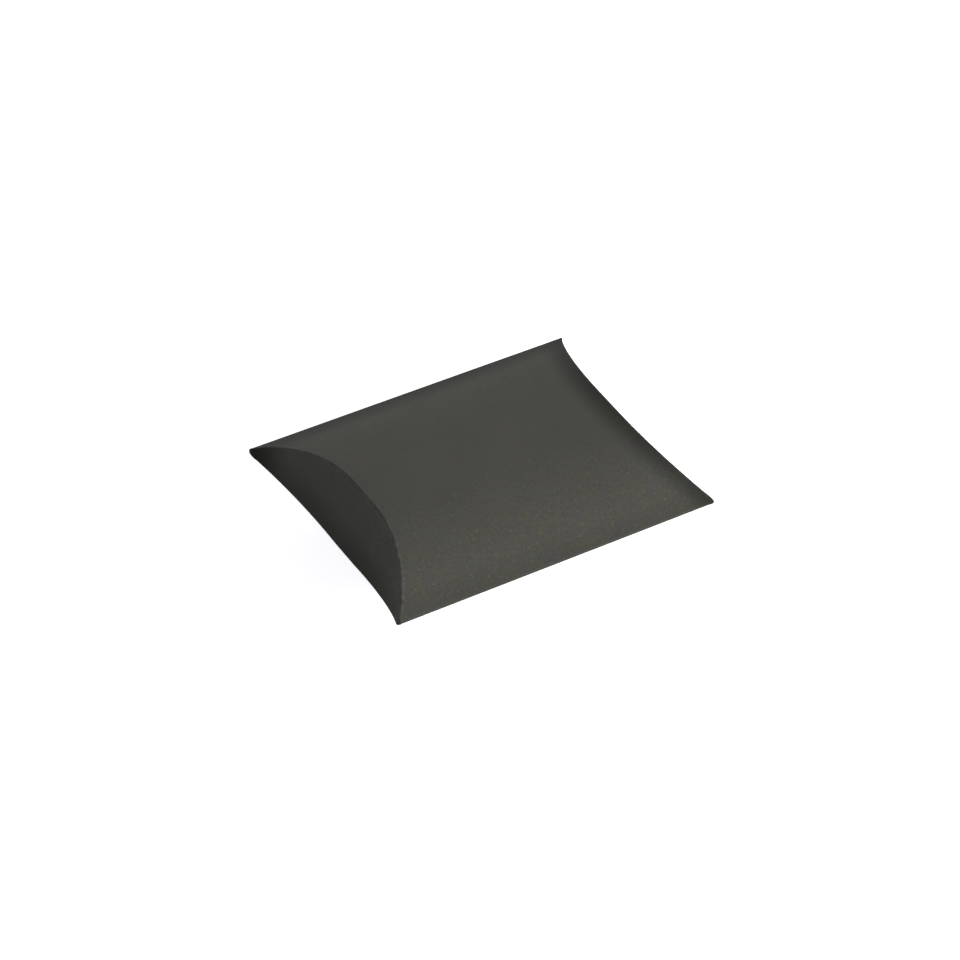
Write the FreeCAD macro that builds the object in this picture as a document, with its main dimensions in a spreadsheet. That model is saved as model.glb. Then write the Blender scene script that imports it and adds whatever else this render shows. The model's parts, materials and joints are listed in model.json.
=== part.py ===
"""A pillow box of creased card: two bowed panels, two long folds, a glued seam and four curved end flaps.

The box lies on its belly. X runs along the long folds, Y across them and Z up. The origin is under the middle of the
box, on the surface that it rests on. The corner points are where the long folds meet the ends.
"""
import FreeCAD, Part
import math
import operator
import os
import Sketcher

# Driving sizes in millimetres, and one angle in degrees.
SIZES = {
    "corner_length": 115,
    "box_width": 80,
    "box_height": 24,
    "board": 0.5,
    "belly_flat": 10,
    "fold_inside": 0.3,
    "seam_inside": 0.1,
    "seam_setback": 0.6,
    "crease_gap": 0.2,
    "flap_depth": 11,
    "flap_lean": 8.3,
    "edge_lift": 0.35,
    "flap_gap": 0.35,
    "inner_reach": 4,
    "inner_side": 1.6,
    "tab_width": 12,
    "tab_setback": 5,
    "tab_taper": 8,
    "glue_thickness": 0.1,
    "glue_gap": 0.03,
    "glue_width": 8,
    "glue_setback": 15,
}

LEFT = -1
RIGHT = 1
NEAR = -1
FAR = 1
UP = 1
DOWN = -1

doc = FreeCAD.newDocument("pillow_box")
sheet = doc.addObject("Spreadsheet::Sheet", "Sizes")
for row, (alias, value) in enumerate(SIZES.items(), start=1):
    sheet.set(f"A{row}", alias)
    sheet.set(f"B{row}", str(value))
    sheet.setAlias(f"B{row}", alias)
doc.recompute()


class Size:
    """A number together with the sheet expression that gives it."""

    actions = {"+": operator.add, "-": operator.sub, "*": operator.mul, "/": operator.truediv}

    def __init__(self, number, text):
        self.number = number
        self.text = text

    def joined(self, sign, other):
        other = other if isinstance(other, Size) else Size(other, str(other))
        number = self.actions[sign](self.number, other.number)
        return Size(number, f"({self.text} {sign} {other.text})")

    def __add__(self, other):
        return self.joined("+", other)

    def __sub__(self, other):
        return self.joined("-", other)

    def __mul__(self, other):
        return self.joined("*", other)

    def __truediv__(self, other):
        return self.joined("/", other)

    def root(self):
        return Size(math.sqrt(self.number), f"sqrt({self.text})")

    def sine(self):
        return Size(math.sin(math.radians(self.number)), f"sin({self.text} * 1 deg)")

    def cosine(self):
        return Size(math.cos(math.radians(self.number)), f"cos({self.text} * 1 deg)")


def cell(alias):
    """The size that one cell of the sheet holds."""
    return Size(float(sheet.get(alias)), f"Sizes.{alias}")


length = cell("corner_length")
width = cell("box_width")
height = cell("box_height")
board = cell("board")
flat = cell("belly_flat") / 2
fold = board + cell("fold_inside")
seam = board + cell("seam_inside")
gap = cell("crease_gap")
lean = cell("flap_lean")
inner_inset = board + cell("flap_gap")
glue_start = board + cell("glue_gap")
glue_end = glue_start + cell("glue_thickness")
half_length = length / 2
half_width = width / 2
half_height = height / 2
nothing = board * 0


class Side:
    """One half of an arch: a flat stretch from the middle, then one arc that ends in a given direction."""

    def __init__(self, flat, radius, sine, cosine):
        self.flat = flat
        self.radius = radius
        self.sine = sine
        self.cosine = cosine


class Arch:
    """A bowed line across the box, rising from the chord between the corners to its height in the middle."""

    def __init__(self, rise, near, far):
        self.rise = rise
        self.sides = {NEAR: near, FAR: far}

    def centre(self, side):
        half = self.sides[side]
        return half.flat * side, self.rise - half.radius

    def point(self, side, inward, sine, cosine):
        """The point of the line moved inward by some distance, where the arc points in a direction."""
        half = self.sides[side]
        across = (half.flat + (half.radius - inward) * sine) * side
        return across, self.rise - half.radius + (half.radius - inward) * cosine

    def end(self, side, inward):
        half = self.sides[side]
        return self.point(side, inward, half.sine, half.cosine)

    def start(self, side, inward):
        half = self.sides[side]
        return half.flat * side, self.rise - inward


def half_arch(rise, reach, tip):
    """The half whose arc leaves the flat smoothly and runs smoothly into a round tip that ends on the chord."""
    run = reach - tip - flat
    climb = rise - tip
    slope = climb / run
    square = slope * slope
    sine = slope * 2 / (square + 1)
    cosine = (square * -1 + 1) / (square + 1)
    return Side(flat, run / sine + tip, sine, cosine)


def plain_arch(rise, reach, tip):
    return Arch(rise, half_arch(rise, reach, tip), half_arch(rise, reach, tip))


# The section of the tube. On the far side the top panel turns round a tighter fold into the glue tab, which lies
# inside the bottom panel, so that fold sits higher and the arc starts a little further out.
section = plain_arch(half_height, half_width, fold)
panel_radius = section.sides[NEAR].radius
tab_depth = glue_end + cell("glue_gap")
drop = panel_radius - half_height
to_top = panel_radius - seam
to_tab = to_top - tab_depth
seam_up = (to_top * to_top - to_tab * to_tab) / (drop * 4)
seam_top_cosine = (seam_up + drop) / to_top
seam_top_sine = (nothing + 1 - seam_top_cosine * seam_top_cosine).root()
seam_tab_cosine = (drop - seam_up) / to_tab
seam_tab_sine = (nothing + 1 - seam_tab_cosine * seam_tab_cosine).root()
seam_flat = half_width - seam - to_top * seam_top_sine
seam_across = half_width - seam
top_arch = Arch(half_height, section.sides[NEAR], Side(seam_flat, panel_radius, seam_top_sine, seam_top_cosine))
edge_sine = seam_tab_sine - cell("seam_setback") / panel_radius
edge_cosine = (nothing + 1 - edge_sine * edge_sine).root()
bottom_arch = Arch(half_height, section.sides[NEAR], Side(seam_flat, panel_radius, edge_sine, edge_cosine))

# The plan of the flaps, and their free edges seen from the ends. The outer flap leans, and its free edge stays a
# little above the surface that the box rests on. The inner flap stands upright and clears it at its own free edge.
outer_depth = cell("flap_depth")
outer_back = outer_depth + board
inner_reach = cell("inner_reach")
inner_depth = (outer_back + inner_reach * lean.sine()) / lean.cosine() - board
outer_reach = (half_height - cell("edge_lift") - outer_back * lean.sine()) / lean.cosine()
outer_arch = plain_arch(outer_depth, half_width, fold)
inner_arch = plain_arch(inner_depth, half_width, fold)
outer_edge = plain_arch(outer_reach, half_width, fold)
inner_edge = plain_arch(inner_reach, half_width - cell("inner_side"), nothing)

# Lengths that reach past everything, for plates before they are cut and for the cuts.
beyond = width
plate_length = length + height


def seen_end_on(direction):
    """Places a section in a sketch that looks along the box, with the arch bowed up or down."""
    def place(point):
        return point[0], point[1] * direction
    return place


def seen_from_above(end):
    """Places a flap's plan in a sketch that looks along its height, with the arch drawn in towards the middle."""
    def place(point):
        return point[1] * -end, point[0]
    return place


def plane(body, role):
    """One of the body's own origin planes."""
    found = [feature for feature in body.Origin.OriginFeatures if feature.Role == role]
    return found[0]


def new_body(name):
    body = doc.addObject("PartDesign::Body", name)
    body.Label = name
    body.Placement = FreeCAD.Placement(FreeCAD.Vector(0, 0, half_height.number), FreeCAD.Rotation())
    body.setExpression("Placement.Base.z", half_height.text)
    return body


def new_sketch(body, name, role):
    sketch = body.newObject("Sketcher::SketchObject", f"{body.Name}_{name}")
    sketch.AttachmentSupport = [(plane(body, role), "")]
    sketch.MapMode = "FlatFace"
    return sketch


def vector(point):
    return FreeCAD.Vector(point[0].number, point[1].number, 0)


def arc_between(start, finish, centre, radius):
    """The shorter arc between two points, drawn counter-clockwise as sketches need it."""
    first = math.atan2((start - centre).y, (start - centre).x)
    last = math.atan2((finish - centre).y, (finish - centre).x)
    sweep = (last - first) % (2 * math.pi)
    if sweep > math.pi:
        first, last = last, first
    if last < first:
        last += 2 * math.pi
    circle = Part.Circle(centre, FreeCAD.Vector(0, 0, 1), radius)
    return Part.ArcOfCircle(circle, first, last)


def bind(sketch, constraint, size):
    index = sketch.addConstraint(constraint)
    sketch.setExpression(f"Constraints[{index}]", size.text)


def draw(sketch, place, corners, arcs):
    """Draws a closed outline whose corners and radii follow the sheet.

    corners are points, and arcs gives the centre and radius of each edge that is round, by the index of the corner
    that it starts from.
    """
    placed = [place(corner) for corner in corners]
    count = len(placed)
    ends = []
    for index in range(count):
        start = vector(placed[index])
        finish = vector(placed[(index + 1) % count])
        if index in arcs:
            centre, radius = arcs[index]
            curve = arc_between(start, finish, vector(place(centre)), radius.number)
        else:
            curve = Part.LineSegment(start, finish)
        edge = sketch.addGeometry(curve, False)
        forward = (sketch.Geometry[edge].StartPoint - start).Length < (sketch.Geometry[edge].EndPoint - start).Length
        ends.append((edge, 1, 2) if forward else (edge, 2, 1))
    for index in range(count):
        edge, first, last = ends[index]
        following, following_first, _ = ends[(index + 1) % count]
        sketch.addConstraint(Sketcher.Constraint("Coincident", edge, last, following, following_first))
        across, up = placed[index]
        bind(sketch, Sketcher.Constraint("DistanceX", -1, 1, edge, first, across.number), across)
        bind(sketch, Sketcher.Constraint("DistanceY", -1, 1, edge, first, up.number), up)
        if index in arcs:
            radius = arcs[index][1]
            bind(sketch, Sketcher.Constraint("Radius", edge, radius.number), radius)


def line_of(arch, inward):
    """Corners and arcs of a bowed line, from its near end to its far end."""
    corners = [arch.end(NEAR, inward), arch.start(NEAR, inward), arch.start(FAR, inward), arch.end(FAR, inward)]
    arcs = {0: (arch.centre(NEAR), arch.sides[NEAR].radius - inward),
            2: (arch.centre(FAR), arch.sides[FAR].radius - inward)}
    return corners, arcs


def strip(arch, outer, inner):
    """Outline of a bowed sheet between two depths, with square-cut edges."""
    corners, arcs = line_of(arch, outer)
    under, under_arcs = line_of(arch, inner)
    corners = corners + under[::-1]
    arcs[4] = under_arcs[2]
    arcs[6] = under_arcs[0]
    return corners, arcs


def outside(arch, inward, limit):
    """Outline of all that lies on one side of a bowed line, out to a limit."""
    corners, arcs = line_of(arch, inward)
    near, _, _, far = corners
    corners = corners + [(beyond, far[1]), (beyond, limit), (beyond * -1, limit), (beyond * -1, near[1])]
    return corners, arcs


def around(arch, limit):
    """Outline of all that lies past a bowed line and beside its ends."""
    corners, arcs = line_of(arch, nothing)
    near, _, _, far = corners
    foot = limit * -1
    corners = corners + [(far[0], foot), (beyond, foot), (beyond, limit), (beyond * -1, limit),
                         (beyond * -1, foot), (near[0], foot)]
    return corners, arcs


def pad(body, sketch, reach):
    feature = body.newObject("PartDesign::Pad", f"{sketch.Name}_pad")
    feature.Profile = sketch
    feature.SideType = "Symmetric"
    feature.Length = reach.number
    feature.setExpression("Length", reach.text)
    sketch.Visibility = False
    doc.recompute()
    return feature


def cut(body, sketch):
    """Cuts a sketch right through the body, and makes sure that it took something away."""
    before = body.Shape.Volume
    feature = body.newObject("PartDesign::Pocket", f"{sketch.Name}_cut")
    feature.Profile = sketch
    feature.Type = "ThroughAll"
    feature.SideType = "Symmetric"
    sketch.Visibility = False
    doc.recompute()
    if body.Shape.Volume >= before:
        raise RuntimeError(f"{sketch.Name} cut nothing")
    return feature


def tilt(holder, prefix, axis):
    """Gives a body or a sketch the lean of the outer flaps."""
    placement = getattr(holder, prefix)
    rotation = FreeCAD.Rotation(FreeCAD.Vector(*axis), lean.number)
    setattr(holder, prefix, FreeCAD.Placement(placement.Base, rotation))
    holder.setExpression(f"{prefix}.Rotation.Angle", f"{lean.text} * 1 deg")


def shift(holder, prefix, size):
    """Moves a body or a sketch along the box."""
    placement = getattr(holder, prefix)
    base = FreeCAD.Vector(size.number, placement.Base.y, placement.Base.z)
    setattr(holder, prefix, FreeCAD.Placement(base, placement.Rotation))
    holder.setExpression(f"{prefix}.Base.x", size.text)


def cut_end(body, end, inset, arch, inward, leaning):
    """Cuts one end of a piece back to the inside of a flap."""
    name = "left_end" if end == LEFT else "right_end"
    sketch = new_sketch(body, name, "XY_Plane")
    shift(sketch, "AttachmentOffset", (half_length - inset) * end)
    if leaning:
        tilt(sketch, "AttachmentOffset", (0, -end, 0))
    draw(sketch, seen_from_above(end), *outside(arch, inward, beyond * -1))
    cut(body, sketch)


def cut_both_ends(body, inset, arch, inward, leaning):
    for end in (LEFT, RIGHT):
        cut_end(body, end, inset, arch, inward, leaning)


def plate(name, arch, direction, outer, inner, reach):
    """A bowed sheet that runs along the box."""
    body = new_body(name)
    sketch = new_sketch(body, "section", "YZ_Plane")
    draw(sketch, seen_end_on(direction), *strip(arch, outer, inner))
    pad(body, sketch, reach)
    return body


def top_panel():
    body = plate("top_panel", top_arch, UP, nothing, board, plate_length)
    cut_both_ends(body, nothing, outer_arch, (board + gap) * -1, True)
    return body


def bottom_panel():
    body = plate("bottom_panel", bottom_arch, DOWN, nothing, board, plate_length)
    cut_both_ends(body, inner_inset, inner_arch, (board + gap) * -1, False)
    return body


def round_fold(name, centre, upper, lower, radius):
    """The rounded fold of one long side, from the edge of one sheet to the edge of another."""
    body = new_body(name)
    sketch = new_sketch(body, "section", "YZ_Plane")
    inside = radius - board

    def at(direction, distance):
        return centre[0] + direction[0] * distance, centre[1] + direction[1] * distance

    corners = [at(upper, radius), at(lower, radius), at(lower, inside), at(upper, inside)]
    draw(sketch, seen_end_on(UP), corners, {0: (centre, radius), 2: (centre, inside)})
    pad(body, sketch, plate_length)
    cut_both_ends(body, nothing, outer_arch, (board + gap) * -1, True)
    return body


def near_fold():
    half = section.sides[NEAR]
    centre = ((half_width - fold) * NEAR, nothing)
    upper = (half.sine * NEAR, half.cosine)
    lower = (half.sine * NEAR, half.cosine * -1)
    return round_fold("near_fold", centre, upper, lower, fold)


def seam_fold():
    upper = (seam_top_sine, seam_top_cosine)
    lower = (seam_tab_sine, seam_tab_cosine * -1)
    return round_fold("seam_fold", (seam_across, seam_up), upper, lower, seam)


def seam_strip(name, outer, inner, start, reach, setback):
    """A sheet along the seam, inside the bottom panel, from a distance off the fold to a distance further in."""
    def direction(distance):
        sine = seam_tab_sine - distance / panel_radius
        return sine, (nothing + 1 - sine * sine).root()

    body = new_body(name)
    sketch = new_sketch(body, "section", "YZ_Plane")
    fold_side = direction(start)
    free_side = direction(reach)
    corners = [bottom_arch.point(FAR, outer, *fold_side), bottom_arch.point(FAR, outer, *free_side),
               bottom_arch.point(FAR, inner, *free_side), bottom_arch.point(FAR, inner, *fold_side)]
    centre = bottom_arch.centre(FAR)
    draw(sketch, seen_end_on(DOWN), corners, {0: (centre, panel_radius - outer), 2: (centre, panel_radius - inner)})
    pad(body, sketch, length - setback * 2)
    return body


def glue_tab():
    setback = cell("tab_setback")
    taper = cell("tab_taper")
    reach = cell("tab_width")
    body = seam_strip("glue_tab", tab_depth, tab_depth + board, nothing, reach, setback)
    for end in (LEFT, RIGHT):
        sketch = new_sketch(body, "left_taper" if end == LEFT else "right_taper", "XY_Plane")
        tip = (half_length - setback) * end
        corner = (half_length - setback - taper) * end
        past = (half_length + setback) * end
        fold_line = half_width
        free_line = seam_across - reach
        inner_line = free_line - taper
        corners = [(tip, fold_line), (past, fold_line), (past, inner_line), (corner, inner_line), (corner, free_line)]
        draw(sketch, lambda point: point, corners, {})
        cut(body, sketch)
    return body


def glue_line():
    margin = (cell("tab_width") - cell("glue_width")) / 2
    return seam_strip("glue_line", glue_start, glue_end, margin, margin + cell("glue_width"), cell("glue_setback"))


def flap_blank(name, end, inset, arch):
    """A bowed sheet that stands across one end of the box."""
    body = new_body(name)
    shift(body, "Placement", (half_length - inset) * end)
    sketch = new_sketch(body, "plan", "XY_Plane")
    draw(sketch, seen_from_above(end), *strip(arch, nothing, board * -1))
    pad(body, sketch, height * 2)
    return body


def outer_flap(name, end):
    """A flap that hangs from the top panel's curved crease and leans out to its free edge."""
    body = flap_blank(name, end, nothing, outer_arch)
    tilt(body, "Placement", (0, -end, 0))
    crease = new_sketch(body, "crease", "YZ_Plane")
    tilt(crease, "AttachmentOffset", (end, 0, 0))
    draw(crease, seen_end_on(UP), *outside(top_arch, nothing, beyond))
    cut(body, crease)
    edge = new_sketch(body, "free_edge", "YZ_Plane")
    draw(edge, seen_end_on(DOWN), *outside(outer_edge, nothing, beyond))
    cut(body, edge)
    return body


def inner_flap(name, end):
    """A shorter flap that stands on the bottom panel's curved crease, behind the outer one."""
    body = flap_blank(name, end, inner_inset, inner_arch)
    crease = new_sketch(body, "crease", "YZ_Plane")
    draw(crease, seen_end_on(DOWN), *outside(bottom_arch, gap, beyond))
    cut(body, crease)
    edge = new_sketch(body, "free_edge", "YZ_Plane")
    draw(edge, seen_end_on(UP), *around(inner_edge, beyond))
    cut(body, edge)
    return body


bodies = [
    top_panel(),
    bottom_panel(),
    near_fold(),
    seam_fold(),
    glue_tab(),
    glue_line(),
    outer_flap("outer_flap_left", LEFT),
    outer_flap("outer_flap_right", RIGHT),
    inner_flap("inner_flap_left", LEFT),
    inner_flap("inner_flap_right", RIGHT),
]
doc.recompute()

for item in doc.Objects:
    if "Invalid" in item.State or "Error" in item.State:
        raise RuntimeError(f"{item.Name} failed: {item.State}")
for body in bodies:
    if body.Shape.isNull() or not body.Shape.isValid() or len(body.Shape.Solids) != 1:
        raise RuntimeError(f"{body.Label} has no single valid solid")

os.makedirs("parts", exist_ok=True)
for body in bodies:
    body.Shape.exportStep(f"parts/{body.Label}.step")
    box = body.Shape.optimalBoundingBox()
    print(f"{body.Label}: {body.Shape.Volume:.2f} mm3, x {box.XMin:.2f} to {box.XMax:.2f}, "
          f"y {box.YMin:.2f} to {box.YMax:.2f}, z {box.ZMin:.2f} to {box.ZMax:.2f}")
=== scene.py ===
"""The looks of a closed pillow box of dark, uncoated card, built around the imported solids.

The card is one creased sheet. Its tube, which is both bowed panels, the two long folds and the glue tab, is
one mesh, and each end flap is a mesh that bends out of it. X runs along the long folds, Y across them and
Z up. Shapes are worked out in millimetres and stored in metres.
"""
import json
import math

import bmesh
import bpy
import numpy as np
from mathutils import Matrix, Vector


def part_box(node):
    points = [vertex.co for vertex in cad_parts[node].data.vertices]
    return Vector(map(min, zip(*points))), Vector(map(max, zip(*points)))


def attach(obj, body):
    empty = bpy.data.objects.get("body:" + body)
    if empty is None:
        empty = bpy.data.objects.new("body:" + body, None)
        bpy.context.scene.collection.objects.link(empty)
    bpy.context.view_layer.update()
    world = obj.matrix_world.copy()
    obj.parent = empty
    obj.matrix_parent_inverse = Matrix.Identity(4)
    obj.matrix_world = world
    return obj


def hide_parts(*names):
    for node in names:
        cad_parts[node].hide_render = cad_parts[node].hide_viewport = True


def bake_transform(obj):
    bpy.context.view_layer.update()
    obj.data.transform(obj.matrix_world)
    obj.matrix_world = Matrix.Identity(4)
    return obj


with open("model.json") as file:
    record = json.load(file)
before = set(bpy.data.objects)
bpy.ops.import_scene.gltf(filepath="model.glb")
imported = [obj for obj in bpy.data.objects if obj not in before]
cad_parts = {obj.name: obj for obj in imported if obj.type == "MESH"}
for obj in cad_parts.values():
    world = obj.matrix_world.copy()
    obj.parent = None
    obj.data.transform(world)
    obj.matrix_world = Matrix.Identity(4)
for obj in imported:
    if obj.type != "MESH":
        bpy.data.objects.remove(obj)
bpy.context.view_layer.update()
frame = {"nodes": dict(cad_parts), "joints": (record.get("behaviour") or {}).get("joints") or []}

MM = 0.001
LEFT = -1
RIGHT = 1
SIDES = {"left": LEFT, "right": RIGHT}


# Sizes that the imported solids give, in millimetres.

def corners_mm(node):
    """The low and the high corner of a solid's box."""
    low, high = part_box(node)
    return np.array(low) / MM, np.array(high) / MM


def hinge_mm(name):
    """The place of a hinge."""
    joint = next(joint for joint in frame["joints"] if joint["name"] == name)
    return np.array(joint["pos_m"]) / MM


HALF_WIDTH = corners_mm("seam_fold")[1][1]
HALF_HEIGHT = corners_mm("top_panel")[1][2] / 2
OUTER_HINGE = hinge_mm("outer_right_crease")
INNER_HINGE = hinge_mm("inner_right_crease")

# Sizes of the sheet, in millimetres.
BOARD = 0.5
FLAT_HALF = 5.0
FOLD_RADIUS = 0.8
SEAM_RADIUS = 0.6
SEAM_SETBACK = 0.6
TAB_DEPTH = 0.66
TAB_WIDTH = 12.0
TAB_SETBACK = 5.0
TAB_TAPER = 8.0
RIM_BEVEL = 0.08

# The outer creases lie on slanted planes and end in blunt, pinched corners.
CORNER_REACH = 56.75
CORNER_BLUNT = 0.9
CORNER_POWER = 4
CREASE_RADIUS = 0.65
LEAST_RADIUS = 0.02
LEAD_IN = 0.4
PINCHED_RISE = 0.6
OPEN_RISE = 3.0

# Each corner reaches out a little more or less than the others, at the glued seam and at the near fold.
SEAM_PULL = {LEFT: 0.55, RIGHT: 0.12}
NEAR_PULL = {LEFT: -0.3, RIGHT: -0.1}
PULL_WIDTH = 2.5

# The outer flaps lean in, and their free edges are bowed between straight tips.
FLAP_LEAN = math.radians(8.3)
EDGE_DROP = 11.42
EDGE_REACH = 42.1
EDGE_POWER = 2.2
EDGE_TIP_SLOPE = 1.1
EDGE_TIP_PAST = 0.3

# The inner flaps stand behind them, and stop short of the long folds.
INNER_INSET = 0.6
INNER_DEPTH = CORNER_REACH - INNER_INSET - INNER_HINGE[0]
INNER_RISE = 4.0
INNER_END_GAP = 1.6
INNER_REACH = HALF_WIDTH - INNER_END_GAP

# The top panel rolls over a little before its left crease, and lifts towards its right one.
ROLL_WIDTH = 9.0
ROLL_HEIGHT = {LEFT: 0.1, RIGHT: -0.6}
ROLL_CHANGE = 30.0


# The section across the box.

def arc_to_tip(rise, reach, tip):
    """Radius and end angle of an arc from the flat strip to a round tip on the chord, smooth at both ends."""
    run = reach - tip - FLAT_HALF
    angle = 2 * math.atan((rise - tip) / run)
    return run / math.sin(angle) + tip, angle


def arch_height(rise, reach, tip, across):
    """Height of such an arch over its chord."""
    radius, angle = arc_to_tip(rise, reach, tip)
    beside = np.clip(np.abs(across) - FLAT_HALF, 0, None)
    body = rise - radius + np.sqrt(np.clip(radius ** 2 - beside ** 2, 0, None))
    rounded = np.sqrt(np.clip(tip ** 2 - (np.abs(across) - reach + tip) ** 2, 0, None))
    return np.where(beside <= radius * math.sin(angle), body, rounded)


HALF_TURN = math.pi
TURN = 2 * math.pi
PANEL_RADIUS, PANEL_ANGLE = arc_to_tip(HALF_HEIGHT, HALF_WIDTH, FOLD_RADIUS)
TO_TOP = PANEL_RADIUS - SEAM_RADIUS
TO_TAB = TO_TOP - TAB_DEPTH
PANEL_DROP = PANEL_RADIUS - HALF_HEIGHT
SEAM_UP = (TO_TOP ** 2 - TO_TAB ** 2) / (4 * PANEL_DROP)
SEAM_TOP_ANGLE = math.acos((SEAM_UP + PANEL_DROP) / TO_TOP)
SEAM_TAB_ANGLE = math.acos((PANEL_DROP - SEAM_UP) / TO_TAB)
SEAM_ACROSS = HALF_WIDTH - SEAM_RADIUS
SEAM_FLAT = SEAM_ACROSS - TO_TOP * math.sin(SEAM_TOP_ANGLE)
EDGE_ANGLE = math.asin(math.sin(SEAM_TAB_ANGLE) - SEAM_SETBACK / PANEL_RADIUS)

# Steps along the arcs of the section, and how close two points are that count as one.
PANEL_STEPS = 40
FOLD_STEPS = 12
TAB_STEPS = 12
SAME_PLACE = 0.008


class Section:
    """The outside of the sheet in section: each point's place, outward direction and name of its stretch."""

    def __init__(self):
        self.places = np.zeros((0, 2))
        self.outward = np.zeros((0, 2))
        self.stretch = []

    def arc(self, name, centre, radius, start, end, steps):
        """Adds an arc. A point that it shares with the last one counts as a point of the panel there."""
        angles = np.linspace(start, end, steps + 1)
        directions = np.column_stack([np.sin(angles), np.cos(angles)])
        places = np.array(centre) + radius * directions
        if len(self.stretch) and np.linalg.norm(places[0] - self.places[-1]) < SAME_PLACE:
            if name in ("top", "bottom"):
                self.stretch[-1] = name
            directions = directions[1:]
            places = places[1:]
        self.places = np.vstack([self.places, places])
        self.outward = np.vstack([self.outward, directions])
        self.stretch += [name] * len(places)


def sheet_section():
    """Follows the sheet from its raw edge under the seam, round the near fold, to the tab's free edge."""
    top = 2 * HALF_HEIGHT - PANEL_RADIUS
    bottom = PANEL_RADIUS
    tab_radius = PANEL_RADIUS - TAB_DEPTH
    tab_start = TURN + HALF_TURN - SEAM_TAB_ANGLE
    tab_end = tab_start + TAB_WIDTH / tab_radius
    section = Section()
    section.arc("bottom", (SEAM_FLAT, bottom), PANEL_RADIUS, HALF_TURN - EDGE_ANGLE, HALF_TURN, PANEL_STEPS)
    section.arc("bottom", (-FLAT_HALF, bottom), PANEL_RADIUS, HALF_TURN, HALF_TURN + PANEL_ANGLE, PANEL_STEPS)
    section.arc("near_fold", (FOLD_RADIUS - HALF_WIDTH, HALF_HEIGHT), FOLD_RADIUS,
                HALF_TURN + PANEL_ANGLE, TURN - PANEL_ANGLE, FOLD_STEPS)
    section.arc("top", (-FLAT_HALF, top), PANEL_RADIUS, TURN - PANEL_ANGLE, TURN, PANEL_STEPS)
    section.arc("top", (SEAM_FLAT, top), PANEL_RADIUS, TURN, TURN + SEAM_TOP_ANGLE, PANEL_STEPS)
    section.arc("seam_fold", (SEAM_ACROSS, HALF_HEIGHT + SEAM_UP), SEAM_RADIUS,
                TURN + SEAM_TOP_ANGLE, tab_start, FOLD_STEPS)
    section.arc("tab", (SEAM_FLAT, bottom), tab_radius, tab_start, tab_end, TAB_STEPS)
    return section


def lengths(points):
    """Distances along a line of points, from its start."""
    steps = np.linalg.norm(np.diff(points, axis=0), axis=1)
    return np.concatenate([[0], np.cumsum(steps)])


SECTION = sheet_section()
SECTION_LENGTHS = lengths(SECTION.places)


# The creases at the ends, worked out for the right end and mirrored for the left.

def ease(share):
    """A smooth step from 0 to 1."""
    share = np.clip(share, 0, 1)
    return share * share * (3 - 2 * share)


def fullness(rise):
    """How far a crease has opened out of the pinched corner, from 0 at the corner to 1."""
    return ease((rise - PINCHED_RISE) / (OPEN_RISE - PINCHED_RISE))


def roll_over(distance, rise, roll):
    """How far the top panel stands above its crease, at a distance from the crease along the box."""
    share = np.clip(distance / ROLL_WIDTH, 0, 1)
    return roll * rise / HALF_HEIGHT * share * (2 - share)


def roll_angle(rise, side):
    """Slope of the top panel at its crease."""
    return np.arctan(2 * ROLL_HEIGHT[side] * rise / HALF_HEIGHT / ROLL_WIDTH)


def blunted(rise):
    """A rise that starts late, so that the corners end blunt."""
    return (rise ** CORNER_POWER + CORNER_BLUNT ** CORNER_POWER) ** (1 / CORNER_POWER) - CORNER_BLUNT


CREASE_SLOPE = (CORNER_REACH - OUTER_HINGE[0]) / blunted(HALF_HEIGHT)


def outer_crease(rise):
    """How far out the outer flap's crease lies, by its height over the middle of the box."""
    return CORNER_REACH - CREASE_SLOPE * blunted(rise)


def corner_pull(across, side):
    """How much further out the sheet reaches at a corner."""
    far = SEAM_PULL[side] * ease(1 - (HALF_WIDTH - across) / PULL_WIDTH)
    near = NEAR_PULL[side] * ease(1 - (HALF_WIDTH + across) / PULL_WIDTH)
    return far + near


def inner_crease(across):
    """How far out the inner flap's crease lies, across the box."""
    return CORNER_REACH - INNER_INSET - arch_height(INNER_DEPTH, HALF_WIDTH, FOLD_RADIUS, across)


def outer_turn(rise, side):
    """How far the sheet bends at the outer crease."""
    return math.pi / 2 - FLAP_LEAN - roll_angle(rise, side)


def bend_radius(rise):
    """Radius of a crease's bend, which is nearly sharp at the pinched corners."""
    return CREASE_RADIUS * fullness(rise) + LEAST_RADIUS


def lead(turn, rise):
    """How far from its sharp line a crease's flap starts, measured along the panel."""
    return bend_radius(rise) * np.tan(turn / 2) + LEAD_IN * fullness(rise) + LEAST_RADIUS


def outer_lead(rise, side):
    """The outer flap's lead, measured along the box."""
    return lead(outer_turn(rise, side), rise) * np.cos(roll_angle(rise, side))


def tube_ends(side):
    """How far out the tube reaches at each point of its section."""
    ends = []
    along_tab = 0.0
    for index, name in enumerate(SECTION.stretch):
        across, high = SECTION.places[index]
        rise = abs(high - HALF_HEIGHT)
        end = outer_crease(rise) + corner_pull(across, side)
        if name == "top":
            end -= outer_lead(rise, side)
        elif name == "bottom":
            end += fullness(rise) * (inner_crease(across) - lead(math.pi / 2, rise) - end)
        elif name == "tab":
            along_tab += np.linalg.norm(SECTION.places[index] - SECTION.places[index - 1])
            end = CORNER_REACH - TAB_SETBACK - TAB_TAPER * along_tab / TAB_WIDTH
        ends.append(float(end))
    return np.array(ends)


# Meshes.

SHARP_ANGLE = math.radians(38)


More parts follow.
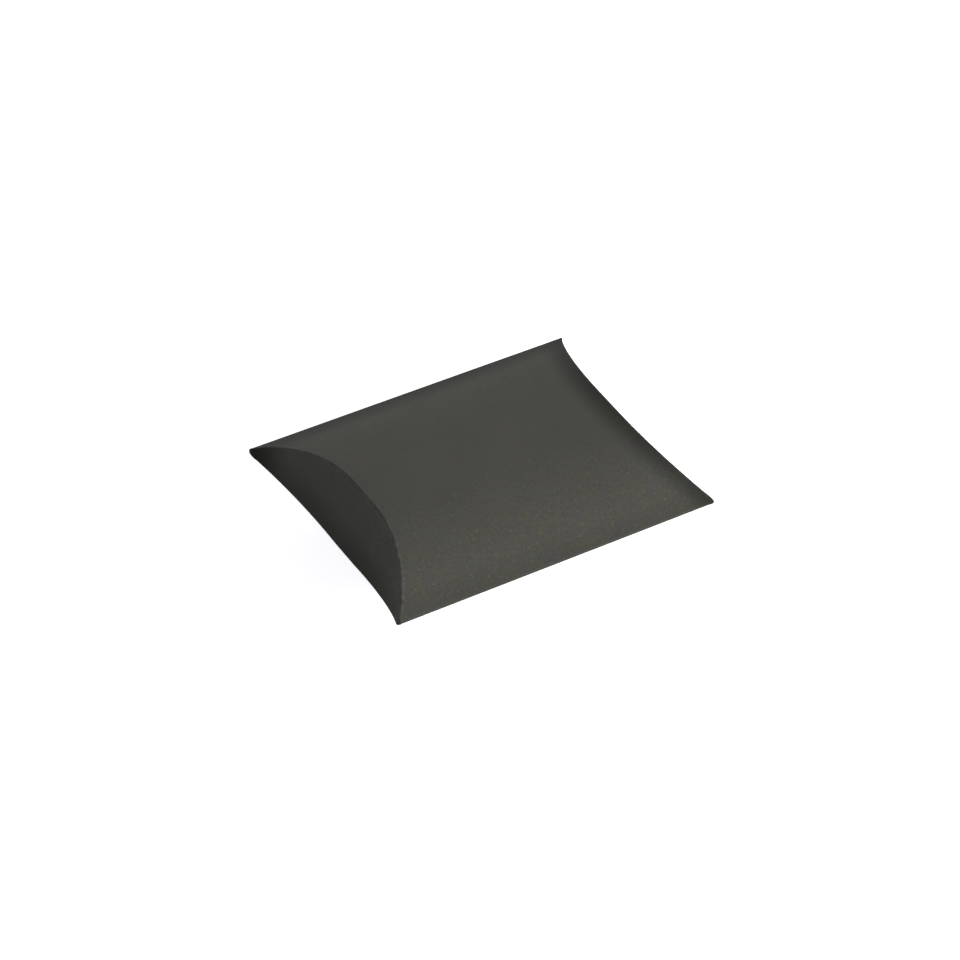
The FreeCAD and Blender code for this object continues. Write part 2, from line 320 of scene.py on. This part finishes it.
def add_piece(name, points, faces, looks):
    """A smooth-shaded mesh with an attribute for each of the looks: one number, or three, for each point."""
    mesh = bpy.data.meshes.new(name)
    mesh.from_pydata([tuple(point) for point in points * MM], [], faces)
    shell = bmesh.new()
    shell.from_mesh(mesh)
    bmesh.ops.recalc_face_normals(shell, faces=shell.faces)
    shell.to_mesh(mesh)
    shell.free()
    mesh.polygons.foreach_set("use_smooth", [True] * len(mesh.polygons))
    mesh.set_sharp_from_angle(angle=SHARP_ANGLE)
    for look, values in looks.items():
        numbers = np.asarray(values, np.float32).ravel()
        if len(numbers) == len(points):
            mesh.attributes.new(look, "FLOAT", "POINT").data.foreach_set("value", numbers)
        else:
            mesh.attributes.new(look, "FLOAT_VECTOR", "POINT").data.foreach_set("vector", numbers)
    piece = bpy.data.objects.new(name, mesh)
    bpy.context.scene.collection.objects.link(piece)
    return piece


def lofted(name, grid, depth, looks):
    """A solid through matching rings of points, which run along one face of the sheet and back on the other.

    The first depth points of a ring lie on the outer face. Then come two on a rim and depth on the inner
    face. A ring may end with two more points on the rim where it started.
    """
    rings, count, _ = grid.shape
    faces = []
    for ring in range(rings - 1):
        for index in range(count):
            following = (index + 1) % count
            faces.append((ring * count + index, ring * count + following,
                          (ring + 1) * count + following, (ring + 1) * count + index))
    back = 2 * depth + 1
    cap = [(index, index + 1, back - index - 1, back - index) for index in range(depth - 1)]
    cap.append((depth - 1, depth, depth + 1, depth + 2))
    if count > back + 1:
        cap.append((back, back + 1, back + 2, 0))
    for ring in (0, rings - 1):
        faces += [tuple(ring * count + index for index in loop) for loop in cap]
    return add_piece(name, grid.reshape(-1, 3), faces, looks)


RIM_POINTS = 2


def rim(edge, outward, onward):
    """Two points that soften the cut edge of the sheet, from its outer face to its inner one."""
    past = edge + onward * RIM_BEVEL
    return np.array([past - outward * RIM_BEVEL, past - outward * (BOARD - RIM_BEVEL)])


# Distances in from the ends at which the tube has rings of points, and the number of rings across its middle.
END_RINGS = (0, 0.15, 0.5, 1, 1.6, 2.3, 3, 3.8, 4.6, 5.5, 6.5, 7.5, 8.5, 10, 12)
MIDDLE_RINGS = 19

# A narrow pale line along creases and folds is wear, and along the creases also a painted highlight, which
# grows along them towards the near side.
WEAR_AND_HIGHLIGHT_WIDTH = 0.9
FAR_WEAR_AND_HIGHLIGHT = 0.5
NEAR_WEAR_AND_HIGHLIGHT = 1.6
FOLD_WEAR = 0.1

# Painted shade makes soft, darker bands along the outline of the box. Each is given as the share of the
# card's tone that it takes and its width.
CREASE_SHADE_BANDS = {LEFT: (0.02, 4.0), RIGHT: (0.52, 10.0)}
FAR_SHADE_BAND = (0.61, 11.5)
NEAR_SHADE_BAND = (0.18, 8.0)
EDGE_SHADE_BAND = (0.3, 12.0)


def crease_wear_and_highlight(distance, across):
    """How pale the card is at a distance from a crease, from wear and a painted highlight."""
    most = FAR_WEAR_AND_HIGHLIGHT + (NEAR_WEAR_AND_HIGHLIGHT - FAR_WEAR_AND_HIGHLIGHT) * ease(-across / HALF_WIDTH)
    return most * np.exp(-(distance / WEAR_AND_HIGHLIGHT_WIDTH) ** 2)


def band(distance, kind):
    """How much painted shade darkens the card at a distance from an edge with a band of that kind."""
    depth, width = kind
    return depth * ease(1 - distance / width)


def overlaid(*bands):
    """How much painted shade darkens the card where bands cross."""
    kept = 1
    for share in bands:
        kept = kept * (1 - share)
    return 1 - kept


def sheet_places(along, around, outside):
    """Places on the flat sheet, in metres, for a ring of points on its outer face, a rim and its inner face.

    along and around are given for the outer face, and outside is the number of points there.
    """
    rims = (RIM_BEVEL, BOARD - RIM_BEVEL)
    depth = np.concatenate([np.zeros(outside), rims, np.full(outside, BOARD)])
    along = np.concatenate([along, [along[-1]] * 2, along[::-1]])
    around = np.concatenate([around, [around[-1]] * 2, around[::-1]])
    return np.column_stack([along, around, depth]) * MM


def card_tube():
    """Both bowed panels, the two long folds and the glue tab, as one bent sheet."""
    places = SECTION.places
    outward = SECTION.outward
    count = len(places)
    across = places[:, 0]
    rises = np.abs(places[:, 1] - HALF_HEIGHT)
    creases = outer_crease(rises)
    # Painted shade along the far and the near fold.
    long_shade_bands = overlaid(band(HALF_WIDTH - across, FAR_SHADE_BAND), band(HALF_WIDTH + across, NEAR_SHADE_BAND))
    on_top = np.array([name == "top" for name in SECTION.stretch])
    on_fold = np.array([name.endswith("fold") for name in SECTION.stretch])
    ends = {side: tube_ends(side) for side in (LEFT, RIGHT)}
    low = END_RINGS[-1] - ends[LEFT]
    high = ends[RIGHT] - END_RINGS[-1]
    outs = [distance - ends[LEFT] for distance in END_RINGS]
    outs += [low + share * (high - low) for share in np.linspace(0, 1, MIDDLE_RINGS)[1:-1]]
    outs += [ends[RIGHT] - distance for distance in reversed(END_RINGS)]
    first_step = places[0] - places[1]
    last_step = places[-1] - places[-2]
    rings = []
    looks = {"wear_and_highlight": [], "painted_shade": [], "sheet": []}
    for out in outs:
        rightward = ease((out + ROLL_CHANGE) / (2 * ROLL_CHANGE))
        roll = ROLL_HEIGHT[LEFT] + rightward * (ROLL_HEIGHT[RIGHT] - ROLL_HEIGHT[LEFT])
        distance = creases - np.abs(out)
        raised = np.where(on_top, roll_over(distance, rises, roll), 0)
        outer = places + np.column_stack([np.zeros(count), raised])
        inner = outer - outward * BOARD
        tab_rim = rim(outer[-1], outward[-1], last_step / np.linalg.norm(last_step))
        raw_rim = rim(outer[0], outward[0], first_step / np.linalg.norm(first_step))[::-1]
        section = np.vstack([outer, tab_rim, inner[::-1], raw_rim])
        along = np.concatenate([out, [out[-1]] * 2, out[::-1], [out[0]] * 2])
        rings.append(np.column_stack([along, section]))
        inside = np.zeros(count + 2 * RIM_POINTS)
        # Pale wear along the folds, and wear with a painted highlight along the creases.
        wear_and_highlight = np.where(on_fold, FOLD_WEAR, crease_wear_and_highlight(distance, across))
        # Painted shade along the long folds and beside both end creases.
        painted_shade = overlaid(long_shade_bands, band(creases + out, CREASE_SHADE_BANDS[LEFT]),
                           band(creases - out, CREASE_SHADE_BANDS[RIGHT]))
        sheet = sheet_places(out, SECTION_LENGTHS, count)
        raw_edge = np.array([[out[0], 0, BOARD - RIM_BEVEL], [out[0], 0, RIM_BEVEL]]) * MM
        looks["wear_and_highlight"].append(np.concatenate([wear_and_highlight, inside]))
        looks["painted_shade"].append(np.concatenate([painted_shade, inside]))
        looks["sheet"].append(np.vstack([sheet, raw_edge]))
    return lofted("card_tube", np.array(rings), count, looks)


# Rows of points down a flap: in its lead-in, round its bend and below it.
LEAD_STEPS = 2
BEND_STEPS = 9
FALL_STEPS = 16


def flap_profile(crease, back, inside, turn, rise, length):
    """A profile in a slice along the box: a lead-in on the panel, a round bend and a straight run below it.

    crease is the bend's sharp line, back the direction along the panel towards the middle and inside the
    direction into the box.
    """
    back = np.array(back)
    inside = np.array(inside)
    radius = bend_radius(rise)
    reach = radius * math.tan(turn / 2)
    points = [back * distance for distance in np.linspace(lead(turn, rise), reach, LEAD_STEPS + 1)[:-1]]
    centre = back * reach + inside * radius
    for angle in np.linspace(0, turn, BEND_STEPS + 1):
        points.append(centre - radius * (inside * math.cos(angle) + back * math.sin(angle)))
    onward = inside * math.sin(turn) - back * math.cos(turn)
    for distance in np.linspace(reach, length - RIM_BEVEL, FALL_STEPS + 1)[1:]:
        points.append(onward * distance)
    return np.array(crease) + np.array(points)


def flap_piece(name, side, slices):
    """A flap through its slices, which are given for the right end and mirrored at the left one.

    A slice has its place in the section across the box, its crease and its profile.
    """
    points = []
    looks = {"wear_and_highlight": [], "painted_shade": [], "sheet": []}
    for index, crease, profile in slices:
        across = SECTION.places[index][0]
        points.append(np.insert(profile, 1, across, axis=1))
        from_crease = np.linalg.norm(profile - crease, axis=1)
        down = lengths(profile)
        inside = np.zeros(len(profile) + RIM_POINTS)
        # Painted shade beside the flap's free edge, its crease and the far fold.
        painted_shade = overlaid(band(down[-1] - down, EDGE_SHADE_BAND), band(from_crease, CREASE_SHADE_BANDS[side]),
                           band(HALF_WIDTH - across, FAR_SHADE_BAND))
        around = np.full(len(profile), SECTION_LENGTHS[index])
        # Wear with a painted highlight along the flap's crease.
        looks["wear_and_highlight"].append(np.concatenate([crease_wear_and_highlight(from_crease, across), inside]))
        looks["painted_shade"].append(np.concatenate([painted_shade, inside]))
        looks["sheet"].append(sheet_places(side * (profile[0, 0] + down), around, len(profile)))
    points = np.array(points)
    along = np.gradient(points, axis=1)
    along /= np.linalg.norm(along, axis=2)[:, :, None]
    outward = np.cross(along, np.gradient(points, axis=0))
    outward /= np.linalg.norm(outward, axis=2)[:, :, None]
    beyond = outward[len(points) // 2, -1, 0]
    outward *= np.sign(beyond)
    rings = []
    for outer, out, onward in zip(points, outward, along):
        rings.append(np.vstack([outer, rim(outer[-1], out[-1], onward[-1]), (outer - out * BOARD)[::-1]]))
    return lofted(name, np.array(rings) * [side, 1, 1], points.shape[1], looks)


def edge_drop(across):
    """How far below the middle of the box the outer flap's free edge hangs."""
    bow = EDGE_DROP * (1 - (abs(across) / EDGE_REACH) ** EDGE_POWER)
    return min(bow, EDGE_TIP_SLOPE * (HALF_WIDTH + EDGE_TIP_PAST - abs(across)))


def outer_flap(name, side):
    """The flap that hangs from the top panel's curved crease, with a leaning, drawn-in face."""
    slices = []
    for index, (across, high) in enumerate(SECTION.places):
        if SECTION.stretch[index] != "top":
            continue
        rise = high - HALF_HEIGHT
        tilt = roll_angle(rise, side)
        length = (rise + edge_drop(across)) / math.cos(FLAP_LEAN)
        crease = (outer_crease(rise) + corner_pull(across, side), high)
        back = (-math.cos(tilt), math.sin(tilt))
        inside = (-math.sin(tilt), -math.cos(tilt))
        profile = flap_profile(crease, back, inside, outer_turn(rise, side), rise, length)
        distance = outer_lead(rise, side)
        profile[0] = (crease[0] - distance, high + roll_over(distance, rise, ROLL_HEIGHT[side]))
        slices.append((index, crease, profile))
    return flap_piece(name, side, slices)


def inner_flap(name, side):
    """The shorter flap behind it, which stands up from the bottom panel's curved crease."""
    slices = []
    for index, (across, low) in enumerate(SECTION.places):
        if SECTION.stretch[index] != "bottom" or abs(across) > INNER_REACH:
            continue
        drop = HALF_HEIGHT - low
        length = drop + float(arch_height(INNER_RISE, INNER_REACH, 0, across))
        crease = (float(inner_crease(across)), low)
        profile = flap_profile(crease, (-1, 0), (0, 1), math.pi / 2, drop, length)
        slices.append((index, crease, profile))
    return flap_piece(name, side, slices)


def hang(piece, node):
    """Bakes a flap's place into its mesh and hides the solid that it stands in for.
    """
    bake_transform(piece)
    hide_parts(node)


# Nodes of materials.

def add_node(tree, kind, inputs, **settings):
    """Adds a node. Each input is given a value, or the output of another node to link to."""
    node = tree.nodes.new(kind)
    for name, value in settings.items():
        setattr(node, name, value)
    for socket, value in inputs.items():
        if isinstance(value, bpy.types.NodeSocket):
            tree.links.new(value, node.inputs[socket])
        else:
            node.inputs[socket].default_value = value
    return node


def attribute(tree, name, output):
    """An attribute of the mesh."""
    return add_node(tree, "ShaderNodeAttribute", {}, attribute_name=name).outputs[output]


def calculate(tree, operation, first, second):
    """A sum of two numbers, or another operation on them."""
    return add_node(tree, "ShaderNodeMath", {0: first, 1: second}, operation=operation).outputs[0]


def stretched(tree, value, low, high, to_low=0.0, to_high=1.0):
    """Takes the range from low to high to another range, and goes no further than its ends."""
    inputs = {"Value": value, "From Min": low, "From Max": high, "To Min": to_low, "To Max": to_high}
    return add_node(tree, "ShaderNodeMapRange", inputs).outputs["Result"]


# Sockets of the Mix node when it mixes colours.
MIX_SHARE = 0
MIX_FIRST = 6
MIX_SECOND = 7
MIX_RESULT = 2


def mixed(tree, share, first, second):
    """A mix of two colours, with a share of the second one."""
    inputs = {MIX_SHARE: share, MIX_FIRST: first, MIX_SECOND: second}
    return add_node(tree, "ShaderNodeMix", inputs, data_type="RGBA").outputs[MIX_RESULT]


def dimmed(tree, colour, share):
    """Multiplies a colour by a number."""
    inputs = {"Vector": colour, "Scale": share}
    return add_node(tree, "ShaderNodeVectorMath", inputs, operation="SCALE").outputs[0]


def noise(tree, place, size, detail):
    """Soft noise around a half, with patches of a size in millimetres."""
    inputs = {"Vector": place, "Scale": 1 / (size * MM), "Detail": detail}
    return add_node(tree, "ShaderNodeTexNoise", inputs).outputs[0]


# How far noise rises past its least value before a fibre shows in full.
FIBRE_RISE = 0.08


def fibres(tree, place, angle, length, width, least):
    """Short hairs or flecks in one direction, where stretched noise rises past the least value."""
    inputs = {"Vector": place, "Rotation": (0, 0, math.radians(angle)),
              "Scale": (length * MM, width * MM, length * MM)}
    turned = add_node(tree, "ShaderNodeMapping", inputs, vector_type="TEXTURE").outputs[0]
    hairs = add_node(tree, "ShaderNodeTexNoise", {"Vector": turned, "Scale": 1, "Detail": 1}).outputs[0]
    return stretched(tree, hairs, least, least + FIBRE_RISE)


# Ranges of noise that are stretched to a full swing, the narrower for the crisper patterns.
WIDE_RANGE = (0.25, 0.75)
SOFT_RANGE = (0.3, 0.7)
FIRM_RANGE = (0.35, 0.65)
CRISP_RANGE = (0.38, 0.62)


def swung(tree, value, change):
    """Takes soft noise to a swing of tone to both sides of 0."""
    return stretched(tree, value, *WIDE_RANGE, -change, change)


# The card: its colours, the sizes and details of its patterns, and how much they change its tone.
CARD_GREY = (0.0576, 0.0556, 0.0510, 1)
CARD_OLIVE = (0.0591, 0.0590, 0.0469, 1)
# The pale tint is that of fibres, and also of the wear and painted highlight along the creases.
PALE_FIBRE_AND_HIGHLIGHT = (0.125, 0.121, 0.106, 1)
DARK_FIBRE = (0.024, 0.024, 0.022, 1)
OLIVE_PATCHES = (4.5, 2)
CLOUDS = (16, 1)
GRAIN = (0.5, 3)
MOTTLING = (1.3, 2)
WEAR_AND_HIGHLIGHT_PATCHES = (1.8, 2)
SHEEN_PATCHES = (1.1, 2)
CLOUD_CHANGE = 0.03
GRAIN_CHANGE = 0.09
MOTTLE_CHANGE = 0.06
HAIR_SHARE = 0.2
PALE_FLECK_SHARE = 0.22
DARK_FLECK_SHARE = 0.25
WEAR_AND_HIGHLIGHT_SHARE = 0.35
CARD_ROUGHNESS = (0.70, 0.82)
CARD_GLOSS = 0.03
HAIR_HEIGHT = 0.35
TOOTH_STRENGTH = 0.35
TOOTH_DEPTH = 0.06

# The card's grain shows most beside the near fold, and calms down to a share of that further round.
NEAR_FOLD_PLACE = SECTION_LENGTHS[SECTION.stretch.index("near_fold")]
ROUGH_WIDTH = 14.0
CALM_WIDTH = 46.0
CALM_SHARE = 0.3


def roughened(tree, place):
    """How much of its grain the card shows, by its place on the sheet."""
    around = add_node(tree, "ShaderNodeSeparateXYZ", {"Vector": place}).outputs["Y"]
    distance = calculate(tree, "ABSOLUTE", calculate(tree, "SUBTRACT", around, NEAR_FOLD_PLACE * MM), 0)
    return stretched(tree, distance, ROUGH_WIDTH * MM, CALM_WIDTH * MM, 1, CALM_SHARE)


def card_material():
    """Uncoated card dyed dark grey: faint olive patches, grain, pale fibres, flecks, worn creases with a
    painted highlight, and painted shade along the outline of the box.
    """
    material = bpy.data.materials.new("dark_card")
    material.use_nodes = True
    tree = material.node_tree
    shader = tree.nodes["Principled BSDF"]
    place = attribute(tree, "sheet", "Vector")
    rough = roughened(tree, place)
    grain = noise(tree, place, *GRAIN)
    steep_hairs = fibres(tree, place, angle=28, length=2.6, width=0.28, least=0.66)
    flat_hairs = fibres(tree, place, angle=-37, length=2.0, width=0.25, least=0.67)
    hairs = calculate(tree, "MAXIMUM", steep_hairs, flat_hairs)
    pale_flecks = fibres(tree, place, angle=12, length=1.5, width=0.8, least=0.63)
    dark_flecks = fibres(tree, place, angle=-68, length=1.3, width=0.8, least=0.64)

    patches = stretched(tree, noise(tree, place, *OLIVE_PATCHES), *CRISP_RANGE, -0.5, 0.5)
    olive = calculate(tree, "ADD", 0.5, calculate(tree, "MULTIPLY", patches, rough))
    colour = mixed(tree, olive, CARD_GREY, CARD_OLIVE)
    clouds = swung(tree, noise(tree, place, *CLOUDS), CLOUD_CHANGE)
    colour = dimmed(tree, colour, calculate(tree, "ADD", 1.0, clouds))
    mottling = swung(tree, noise(tree, place, *MOTTLING), MOTTLE_CHANGE)
    swing = calculate(tree, "ADD", swung(tree, grain, GRAIN_CHANGE), mottling)
    colour = dimmed(tree, colour, calculate(tree, "ADD", 1.0, calculate(tree, "MULTIPLY", swing, rough)))
    for marks, most, tint in ((hairs, HAIR_SHARE, PALE_FIBRE_AND_HIGHLIGHT),
                              (pale_flecks, PALE_FLECK_SHARE, PALE_FIBRE_AND_HIGHLIGHT),
                              (dark_flecks, DARK_FLECK_SHARE, DARK_FIBRE)):
        share = calculate(tree, "MULTIPLY", calculate(tree, "MULTIPLY", marks, rough), most)
        colour = mixed(tree, share, colour, tint)
    # Wear and a painted highlight, broken into patches, make the creases and folds paler.
    broken = stretched(tree, noise(tree, place, *WEAR_AND_HIGHLIGHT_PATCHES), *CRISP_RANGE)
    wear_and_highlight = calculate(tree, "MULTIPLY", attribute(tree, "wear_and_highlight", "Fac"), broken)
    colour = mixed(tree, calculate(tree, "MULTIPLY", wear_and_highlight, WEAR_AND_HIGHLIGHT_SHARE), colour, PALE_FIBRE_AND_HIGHLIGHT)
    # Painted shade darkens the card along the outline of the box.
    colour = dimmed(tree, colour, calculate(tree, "SUBTRACT", 1.0, attribute(tree, "painted_shade", "Fac")))
    tree.links.new(colour, shader.inputs["Base Color"])

    sheen = stretched(tree, noise(tree, place, *SHEEN_PATCHES), *SOFT_RANGE, *CARD_ROUGHNESS)
    tree.links.new(sheen, shader.inputs["Roughness"])
    shader.inputs["Specular IOR Level"].default_value = CARD_GLOSS
    tooth = calculate(tree, "ADD", grain, calculate(tree, "MULTIPLY", hairs, HAIR_HEIGHT))
    strength = calculate(tree, "MULTIPLY", rough, TOOTH_STRENGTH)
    inputs = {"Strength": strength, "Distance": TOOTH_DEPTH * MM, "Height": tooth}
    tree.links.new(add_node(tree, "ShaderNodeBump", inputs).outputs[0], shader.inputs["Normal"])
    return material


# The dried glue: its colours, the sizes and details of its patterns, and its ripples.
GLUE_CREAM = (0.66, 0.62, 0.51, 1)
GLUE_AMBER = (0.56, 0.51, 0.38, 1)
GLUE_STREAKS = (3, 3)
GLUE_RIPPLES = (0.9, 2)
GLUE_ROUGHNESS = (0.35, 0.55)
RIPPLE_STRENGTH = 0.4
RIPPLE_DEPTH = 0.1


def glue_material():
    """A dried, cream-coloured line of glue, a little uneven and satin."""
    material = bpy.data.materials.new("dried_glue")
    material.use_nodes = True
    tree = material.node_tree
    shader = tree.nodes["Principled BSDF"]
    place = tree.nodes.new("ShaderNodeTexCoord").outputs["Object"]
    streaks = stretched(tree, noise(tree, place, *GLUE_STREAKS), *FIRM_RANGE)
    tree.links.new(mixed(tree, streaks, GLUE_CREAM, GLUE_AMBER), shader.inputs["Base Color"])
    ripples = noise(tree, place, *GLUE_RIPPLES)
    tree.links.new(stretched(tree, ripples, *SOFT_RANGE, *GLUE_ROUGHNESS), shader.inputs["Roughness"])
    inputs = {"Strength": RIPPLE_STRENGTH, "Distance": RIPPLE_DEPTH * MM, "Height": ripples}
    tree.links.new(add_node(tree, "ShaderNodeBump", inputs).outputs[0], shader.inputs["Normal"])
    return material


# The stage and the light.

AIM = Vector((0, 0, HALF_HEIGHT * MM))
FLOOR_HALF = 3.0
FLOOR_TONE = 0.7
FLOOR_LIFT = 0.75
EVEN_LIGHT = 0.18
SOFT_BOX_DISTANCE = 1.5
WHITE = (1, 1, 1)
COOL_WHITE = (0.97, 0.99, 1.15)


def shown_ray(tree):
    """1 for rays that show a surface, straight, in a gloss or through glass, and 0 for diffuse light."""
    path = tree.nodes.new("ShaderNodeLightPath")
    shown = path.outputs["Is Camera Ray"]
    for name in ("Is Glossy Ray", "Is Transmission Ray"):
        shown = calculate(tree, "MAXIMUM", shown, path.outputs[name])
    return shown


def floor_material():
    """A pale matt floor that shows as white, apart from the shadow of the box."""
    material = bpy.data.materials.new("white_floor")
    material.use_nodes = True
    tree = material.node_tree
    tree.nodes.clear()
    matt = tree.nodes.new("ShaderNodeBsdfDiffuse")
    matt.inputs["Color"].default_value = (FLOOR_TONE, FLOOR_TONE, FLOOR_TONE, 1)
    bright = tree.nodes.new("ShaderNodeEmission")
    bright.inputs["Strength"].default_value = FLOOR_LIFT
    nothing = tree.nodes.new("ShaderNodeEmission")
    nothing.inputs["Strength"].default_value = 0
    lift = tree.nodes.new("ShaderNodeMixShader")
    total = tree.nodes.new("ShaderNodeAddShader")
    output = tree.nodes.new("ShaderNodeOutputMaterial")
    tree.links.new(shown_ray(tree), lift.inputs[0])
    tree.links.new(nothing.outputs[0], lift.inputs[1])
    tree.links.new(bright.outputs[0], lift.inputs[2])
    tree.links.new(matt.outputs[0], total.inputs[0])
    tree.links.new(lift.outputs[0], total.inputs[1])
    tree.links.new(total.outputs[0], output.inputs["Surface"])
    return material


def floor():
    """A large square floor under the box."""
    corners = [(-FLOOR_HALF, -FLOOR_HALF, 0), (FLOOR_HALF, -FLOOR_HALF, 0), (FLOOR_HALF, FLOOR_HALF, 0),
               (-FLOOR_HALF, FLOOR_HALF, 0)]
    mesh = bpy.data.meshes.new("floor")
    mesh.from_pydata(corners, [], [(0, 1, 2, 3)])
    mesh.materials.append(floor_material())
    plane = bpy.data.objects.new("floor", mesh)
    bpy.context.scene.collection.objects.link(plane)


def world_light():
    """A white surround to look at, and an even dim light from all sides."""
    world = bpy.data.worlds.new("studio")
    world.use_nodes = True
    bpy.context.scene.world = world
    tree = world.node_tree
    even = tree.nodes["Background"]
    even.inputs["Color"].default_value = (*WHITE, 1)
    even.inputs["Strength"].default_value = EVEN_LIGHT
    white = tree.nodes.new("ShaderNodeBackground")
    white.inputs["Color"].default_value = (*WHITE, 1)
    white.inputs["Strength"].default_value = 1
    choice = tree.nodes.new("ShaderNodeMixShader")
    tree.links.new(shown_ray(tree), choice.inputs[0])
    tree.links.new(even.outputs[0], choice.inputs[1])
    tree.links.new(white.outputs[0], choice.inputs[2])
    tree.links.new(choice.outputs[0], tree.nodes["World Output"].inputs["Surface"])


def soft_box(name, azimuth, elevation, size, watts, colour):
    """A square lamp that faces the box from a direction given in degrees."""
    lamp = bpy.data.lights.new(name, "AREA")
    lamp.shape = "SQUARE"
    lamp.size = size
    lamp.energy = watts
    lamp.color = colour
    turn = math.radians(azimuth)
    rise = math.radians(elevation)
    away = Vector((math.cos(turn) * math.cos(rise), math.sin(turn) * math.cos(rise), math.sin(rise)))
    holder = bpy.data.objects.new(name, lamp)
    holder.location = AIM + away * SOFT_BOX_DISTANCE
    holder.rotation_euler = away.to_track_quat("Z", "Y").to_euler()
    bpy.context.scene.collection.objects.link(holder)


# The camera is fitted to the photograph's outline. Its picture is 960 pixels square.
PICTURE = 960
AZIMUTH = math.radians(-42.10)
ELEVATION = math.radians(42.75)
ROLL = math.radians(11.09)
DISTANCE = 1.3500
PIXELS_PER_MM = 3.3742
OFFSET_PIXELS = (3.39, 3.65)
SENSOR = 36


def camera():
    """The camera, which looks at the middle of the box and is rolled."""
    data = bpy.data.cameras.new("camera")
    data.sensor_width = SENSOR
    data.lens = PIXELS_PER_MM * DISTANCE / MM / PICTURE * SENSOR
    data.shift_x = -OFFSET_PIXELS[0] / PICTURE
    data.shift_y = -OFFSET_PIXELS[1] / PICTURE
    level = math.cos(ELEVATION)
    back = Vector((math.sin(AZIMUTH) * level, -math.cos(AZIMUTH) * level, math.sin(ELEVATION)))
    right = Vector((math.cos(AZIMUTH), math.sin(AZIMUTH), 0))
    up = back.cross(right)
    rolled_right = right * math.cos(ROLL) + up * math.sin(ROLL)
    rolled_up = up * math.cos(ROLL) - right * math.sin(ROLL)
    turned = Matrix((rolled_right, rolled_up, back)).transposed()
    view = bpy.data.objects.new("camera", data)
    view.matrix_world = Matrix.Translation(AIM + back * DISTANCE) @ turned.to_4x4()
    bpy.context.scene.collection.objects.link(view)
    bpy.context.scene.camera = view


# The scene.

card = card_material()
tube = card_tube()
tube.data.materials.append(card)
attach(tube, "shell")
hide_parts("top_panel", "bottom_panel", "near_fold", "seam_fold", "glue_tab")

for word, side in SIDES.items():
    outer = outer_flap(f"outer_flap_{word}_card", side)
    outer.data.materials.append(card)
    hang(outer, f"outer_flap_{word}")
    inner = inner_flap(f"inner_flap_{word}_card", side)
    inner.data.materials.append(card)
    hang(inner, f"inner_flap_{word}")

glue = glue_material()
for slot in frame["nodes"]["glue_line"].material_slots:
    slot.material = glue

floor()
world_light()
soft_box("key", azimuth=314, elevation=19, size=1.0, watts=43, colour=WHITE)
soft_box("back", azimuth=55, elevation=12, size=0.6, watts=15.5, colour=WHITE)
soft_box("fill", azimuth=190, elevation=38, size=1.0, watts=7, colour=COOL_WHITE)
camera()
bpy.context.scene.view_settings.view_transform = "Standard"
